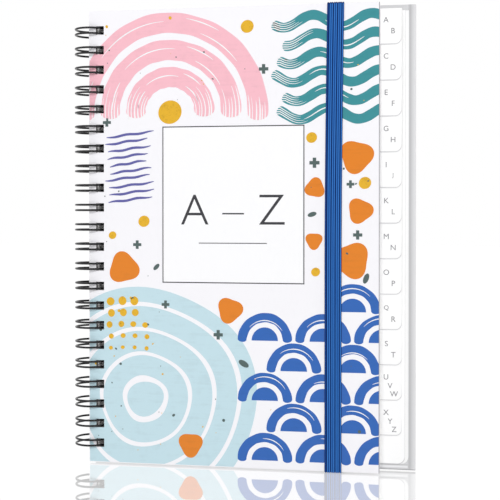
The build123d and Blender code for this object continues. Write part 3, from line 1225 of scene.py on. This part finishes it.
class ADDRESSBOOK_OT_stage(bpy.types.Operator):
    """Set up the camera, the glossy white floor and the soft light"""
    bl_idname = "addressbook.stage"
    bl_label = "Set Stage"

    def execute(self, context):
        stage = context.scene.address_book.stage
        self.camera(context.scene, stage)
        self.floor(stage)
        self.sky(context.scene, stage)
        for lamp in LAMPS:
            self.lamp(*lamp)
        context.scene.view_settings.view_transform = "Standard"
        return {"FINISHED"}

    def camera(self, scene, stage):
        """A still camera at the settings' place."""
        lens = bpy.data.cameras.new("book_camera")
        lens.sensor_width = 36.0
        lens.lens = stage.lens
        lens.shift_y = stage.shift
        lens.clip_start = 0.01
        camera = add_object("book_camera", lens)
        camera.location = stage.place
        camera.rotation_euler = (radians(90) - stage.dip, 0.0, stage.turn)
        scene.camera = camera

    def floor(self, stage):
        """A wide table top that glows white, a little less close to the book, and mirrors it."""
        reach = 3.0
        mesh = bpy.data.meshes.new("table_top")
        corners = [(x, y, 0.0) for x, y in rectangle(-reach, -reach, reach, reach)]
        mesh.from_pydata(corners, [], [(0, 1, 2, 3)])
        material, tree = start_finish("glossy_white_table")
        tree.nodes.remove(tree.nodes["Principled BSDF"])
        # Painted contact shadow: the glow drops where the book is within 2 mm
        contact = add_node(tree, "AmbientOcclusion", Distance=2 * MM)
        light = laid_over(tree, contact.outputs["AO"], 0.95, 1.08)
        glow = add_node(tree, "Emission", Color=WHITE, Strength=light)
        matt = add_node(tree, "BsdfDiffuse", Color=(*stage.floor, 1.0))
        shine = add_node(tree, "BsdfGlossy", Color=WHITE, Roughness=0.03)
        body = add_node(tree, "MixShader", stage.glow, matt.outputs["BSDF"], glow.outputs["Emission"])
        mix = add_node(tree, "MixShader", stage.gloss, body.outputs["Shader"], shine.outputs["BSDF"])
        feed(tree, tree.nodes["Material Output"], {"Surface": mix.outputs["Shader"]})
        mesh.materials.append(material)
        add_object("table_top", mesh)

    def sky(self, scene, stage):
        """A white room that is dimmer as a light than it looks."""
        world = bpy.data.worlds.new("white_room")
        world.use_nodes = True
        tree = world.node_tree
        ambient = add_node(tree, "Background", Color=WHITE, Strength=stage.ambient)
        backdrop = add_node(tree, "Background", Color=WHITE, Strength=1.0)
        rays = add_node(tree, "LightPath")
        seen = combined(tree, "MAXIMUM", rays.outputs["Is Camera Ray"], rays.outputs["Is Glossy Ray"])
        mix = add_node(tree, "MixShader", seen, ambient.outputs[0], backdrop.outputs[0])
        feed(tree, tree.nodes["World Output"], {"Surface": mix.outputs["Shader"]})
        scene.world = world

    def lamp(self, name, place, size, power):
        """A soft lamp aimed at the middle of the book."""
        light = bpy.data.lights.new(name, "AREA")
        light.energy = power
        light.size = size
        lamp = add_object(name, light)
        lamp.location = place
        aim = (cad_box[0] + cad_box[1]) / 2 - Vector(place)
        lamp.rotation_euler = aim.to_track_quat("-Z", "Y").to_euler()
        lamp.visible_glossy = False


class ADDRESSBOOK_PT_sidebar(bpy.types.Panel):
    """Steps that dress the address book, and their settings"""
    bl_idname = "ADDRESSBOOK_PT_sidebar"
    bl_label = "Address Book"
    bl_space_type = "VIEW_3D"
    bl_region_type = "UI"
    bl_category = "Address Book"

    def draw(self, context):
        settings = context.scene.address_book
        for step in STEPS:
            self.layout.operator(step.bl_idname)
        for part in settings.__annotations__:
            group = getattr(settings, part)
            box = self.layout.box()
            box.label(text=settings.bl_rna.properties[part].name)
            for name in group.__annotations__:
                box.prop(group, name)


STEPS = (
    ADDRESSBOOK_OT_covers,
    ADDRESSBOOK_OT_cover_print,
    ADDRESSBOOK_OT_painted_shade,
    ADDRESSBOOK_OT_label,
    ADDRESSBOOK_OT_twin_wire,
    ADDRESSBOOK_OT_elastic_band,
    ADDRESSBOOK_OT_leaves,
    ADDRESSBOOK_OT_index_letters,
    ADDRESSBOOK_OT_tab_shade_lines,
    ADDRESSBOOK_OT_page_ruling,
    ADDRESSBOOK_OT_stage,
)
GROUPS = (
    CoverSettings,
    PrintSettings,
    LabelSettings,
    WireSettings,
    BandSettings,
    LeafSettings,
    StageSettings,
    AddressBookSettings,
)
CLASSES = GROUPS + STEPS + (ADDRESSBOOK_PT_sidebar,)


def register():
    for cls in CLASSES:
        bpy.utils.register_class(cls)
    bpy.types.Scene.address_book = PointerProperty(type=AddressBookSettings)


def unregister():
    del bpy.types.Scene.address_book
    for cls in reversed(CLASSES):
        bpy.utils.unregister_class(cls)


def main():
    """Dresses the book step by step."""
    register()
    bpy.ops.addressbook.covers()
    bpy.ops.addressbook.cover_print()
    bpy.ops.addressbook.wear()
    bpy.ops.addressbook.label()
    bpy.ops.addressbook.twin_wire()
    bpy.ops.addressbook.elastic_band()
    bpy.ops.addressbook.leaves()
    bpy.ops.addressbook.index_letters()
    bpy.ops.addressbook.tab_lines()
    bpy.ops.addressbook.page_ruling()
    bpy.ops.addressbook.stage()


if __name__ == "__main__":
    main()
